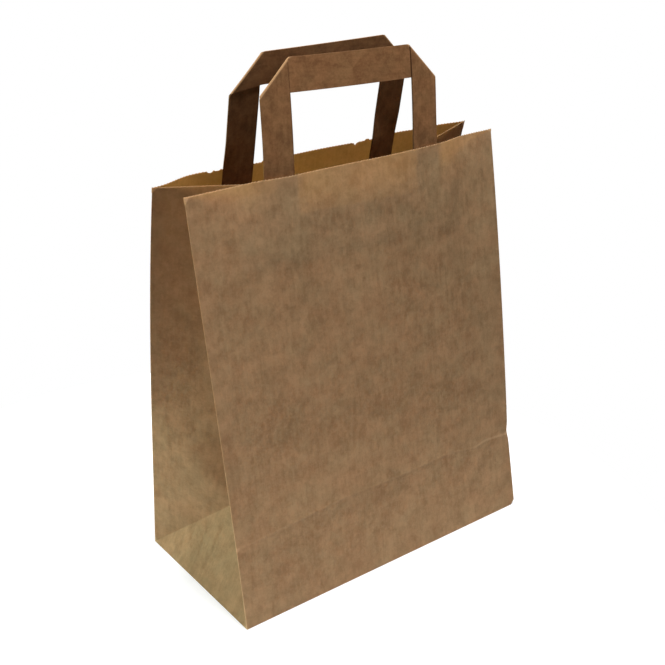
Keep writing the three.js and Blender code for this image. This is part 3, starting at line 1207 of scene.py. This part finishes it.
def make_paper(name, dark, light, fleck, wear_and_highlight, through, glow):
    """A kraft paper: its colours, and how much light of which colour comes through it."""
    material = bpy.data.materials.new(name)
    material.use_nodes = True
    tree = material.node_tree
    tree.nodes.clear()
    place = add_node(tree, "ShaderNodeUVMap", uv_map="sheet").outputs["UV"]
    fibres = add_node(tree, "ShaderNodeGroup", node_tree=FIBRES, Sheet_Place=place).outputs
    ramp = add_node(tree, "ShaderNodeValToRGB", Fac=fibres["Shade"])
    for stop, position, color in zip(ramp.color_ramp.elements, SHADE_RANGE, (dark, light)):
        stop.position = position
        stop.color = color
    cooled = mix_colors(tree, fibres["Coolness"], ramp.outputs["Color"], COOL_TINT, "MULTIPLY")
    flecked = mix_colors(tree, calculate(tree, "MULTIPLY", fibres["Flecks"], FLECK_SHARE), cooled, fleck)
    # The marks on the points paint the paper: pale for wear and a painted highlight, and dark, in the fleck
    # colour, for a painted shadow.
    mark = add_node(tree, "ShaderNodeAttribute", attribute_name="wear_and_painted_light").outputs["Fac"]
    marked = add_node(
        tree,
        "ShaderNodeGroup",
        node_tree=WEAR_AND_LIGHT,
        Wear=mark,
        Color=flecked,
        Worn_Color=wear_and_highlight,
        Dark_Color=fleck,
    )
    bump = add_node(
        tree, "ShaderNodeBump", Height=fibres["Height"], Strength=GRAIN_STRENGTH, Distance=GRAIN_DEPTH
    )
    paper = add_node(
        tree,
        "ShaderNodeBsdfPrincipled",
        Base_Color=marked.outputs["Color"],
        Normal=bump.outputs["Normal"],
        Roughness=ROUGHNESS,
        Specular_IOR_Level=SHEEN,
    )
    shine_through = add_node(tree, "ShaderNodeBsdfTranslucent", Color=glow)
    both = add_node(tree, "ShaderNodeMixShader", through, paper.outputs[0], shine_through.outputs[0])
    add_node(tree, "ShaderNodeOutputMaterial", Surface=both.outputs[0])
    return material


# %% Colours of the three papers
# Each paper's palest colour paints wear and a highlight on its folds and edges; the tape's fleck colour
# also paints the shadow on its legs' inner edges.
BODY_PAPER = make_paper(
    "kraft_paper",
    dark=srgb(154, 124, 91),
    light=srgb(188, 155, 117),
    fleck=srgb(132, 98, 66),
    wear_and_highlight=srgb(226, 196, 154),
    through=0.35,
    glow=(0.97, 0.64, 0.27, 1),
)
PATCH_PAPER = make_paper(
    "patch_paper",
    dark=srgb(155, 122, 88),
    light=srgb(187, 150, 111),
    fleck=srgb(132, 98, 66),
    wear_and_highlight=srgb(226, 196, 154),
    through=0.4,
    glow=(0.9, 0.64, 0.3, 1),
)
HANDLE_TAPE = make_paper(
    "handle_tape",
    dark=srgb(114, 78, 50),
    light=srgb(145, 103, 68),
    fleck=srgb(64, 42, 26),
    wear_and_highlight=srgb(186, 148, 108),
    through=0.04,
    glow=(0.8, 0.45, 0.2, 1),
)
for piece, material in (
    (body, BODY_PAPER),
    (front_patch, PATCH_PAPER),
    (back_patch, PATCH_PAPER),
    (front_handle, HANDLE_TAPE),
    (back_handle, HANDLE_TAPE),
):
    piece.data.materials.append(material)
print("papers", BODY_PAPER.name, PATCH_PAPER.name, HANDLE_TAPE.name)

# %% [markdown]
# ## Floor and light
#
# The bag stands on a small white table under a soft lamp that hangs almost overhead, a little towards
# the front. Such light falls steeply along the walls, so faces that lean back are bright, faces that
# lean forward are dark, and every shallow dent shows. A second lamp stands low on the left, is a
# little green, and lights the gusset's lower part. A third one stands behind the bag, and its light
# comes through the paper. Floor and room are white to the camera, and in gloss and glass, but add
# almost no light of their own, and the floor keeps a soft shadow.

# %% Build the floor
FLOOR_RADIUS = 0.3
FLOOR_DROP = 0.1 * MM
FLOOR_SHIFT = -0.1
floor_shape = bmesh.new()
bmesh.ops.create_circle(floor_shape, cap_ends=True, segments=64, radius=FLOOR_RADIUS)
bmesh.ops.translate(floor_shape, verts=floor_shape.verts, vec=(FLOOR_SHIFT, 0, -FLOOR_DROP))
floor_mesh = bpy.data.meshes.new("floor")
floor_shape.to_mesh(floor_mesh)
floor_shape.free()
floor = bpy.data.objects.new("floor", floor_mesh)
bpy.context.scene.collection.objects.link(floor)
print("floor of radius", FLOOR_RADIUS, "centred on x", FLOOR_SHIFT)

# %% Paint the floor white to the camera
FLOOR_BOUNCE = (0.88, 0.91, 0.95, 1)
FLOOR_GLOW = 0.62
FLOOR_SHADE = (0.45, 0.45, 0.45, 1)


def sees_background(tree):
    """1 for the rays that show the white background: the camera's, and those in gloss and glass.

    Rays that paper scatters, to either side, are diffuse. They stay out, so that the white lights nothing.
    """
    rays = add_node(tree, "ShaderNodeLightPath").outputs
    in_gloss_or_glass = calculate(tree, "MAXIMUM", rays["Is Glossy Ray"], rays["Is Transmission Ray"])
    not_scattered = calculate(tree, "SUBTRACT", in_gloss_or_glass, rays["Is Diffuse Ray"])
    return calculate(tree, "MAXIMUM", rays["Is Camera Ray"], not_scattered)


floor_paint = bpy.data.materials.new("floor")
floor_paint.use_nodes = True
tree = floor_paint.node_tree
tree.nodes.clear()
bounce = add_node(tree, "ShaderNodeBsdfDiffuse", Color=FLOOR_BOUNCE)
white = add_node(tree, "ShaderNodeEmission", Strength=FLOOR_GLOW)
shadow = add_node(tree, "ShaderNodeBsdfDiffuse", Color=FLOOR_SHADE)
seen = add_node(tree, "ShaderNodeAddShader", white.outputs[0], shadow.outputs[0])
choice = add_node(tree, "ShaderNodeMixShader", sees_background(tree), bounce.outputs[0], seen.outputs[0])
add_node(tree, "ShaderNodeOutputMaterial", Surface=choice.outputs[0])
floor_mesh.materials.append(floor_paint)
print("floor paint", len(tree.nodes), "nodes")

# %% Hang the lamps
LAMP_DISTANCE = 1.3
LAMPS = {
    "overhead": {"azimuth": 3, "elevation": 77, "size": 0.3, "power": 27.4, "color": (1.0, 1.0, 1.0)},
    "left": {"azimuth": -124, "elevation": 10, "size": 0.5, "power": 16.6, "color": (0.8, 0.98, 0.88)},
    "back": {"azimuth": 180, "elevation": 30, "size": 0.5, "power": 9.2, "color": (0.98, 1.0, 1.14)},
}
LAMP_TARGET = Vector((0, 0, 0.15))
for name, lamp in LAMPS.items():
    light = bpy.data.lights.new(name, "AREA")
    light.size = lamp["size"]
    light.energy = lamp["power"]
    light.color = lamp["color"]
    holder = bpy.data.objects.new(name, light)
    bpy.context.scene.collection.objects.link(holder)
    towards = turned_back(math.radians(lamp["azimuth"]), math.radians(lamp["elevation"]))
    holder.location = LAMP_TARGET + towards * LAMP_DISTANCE
    holder.rotation_mode = "QUATERNION"
    holder.rotation_quaternion = towards.to_track_quat("Z", "Y")
    print(name, "lamp", [round(c, 3) for c in holder.location])

# %% Light the room faintly, and show it white
ROOM_LIGHT = 0.005
world = bpy.data.worlds.new("room")
world.use_nodes = True
bpy.context.scene.world = world
tree = world.node_tree
tree.nodes.clear()
strength = add_node(
    tree, "ShaderNodeMapRange", Value=sees_background(tree), To_Min=ROOM_LIGHT, To_Max=1.0
).outputs["Result"]
backdrop = add_node(tree, "ShaderNodeBackground", Color=(1, 1, 1, 1), Strength=strength)
add_node(tree, "ShaderNodeOutputWorld", Surface=backdrop.outputs[0])
bpy.context.scene.view_settings.view_transform = "Standard"
print("room light", ROOM_LIGHT)

# %% [markdown]
# ## The pieces and their solids
#
# Every piece stands for one solid of the imported model, whose mesh is hidden, and rides on its only
# body. The table also lists the paper that each piece takes its finish from, though nothing reads it.

# %% Tie the pieces to their body, and hide the solids they stand for
PIECES = (
    (body, "bag_body", "kraft_paper"),
    (front_handle, "handle_front", "handle_tape"),
    (back_handle, "handle_back", "handle_tape"),
    (front_patch, "handle_patch_front", "patch_paper"),
    (back_patch, "handle_patch_back", "patch_paper"),
)
for piece, node, paper in PIECES:
    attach(piece, "root")
    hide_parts(node)
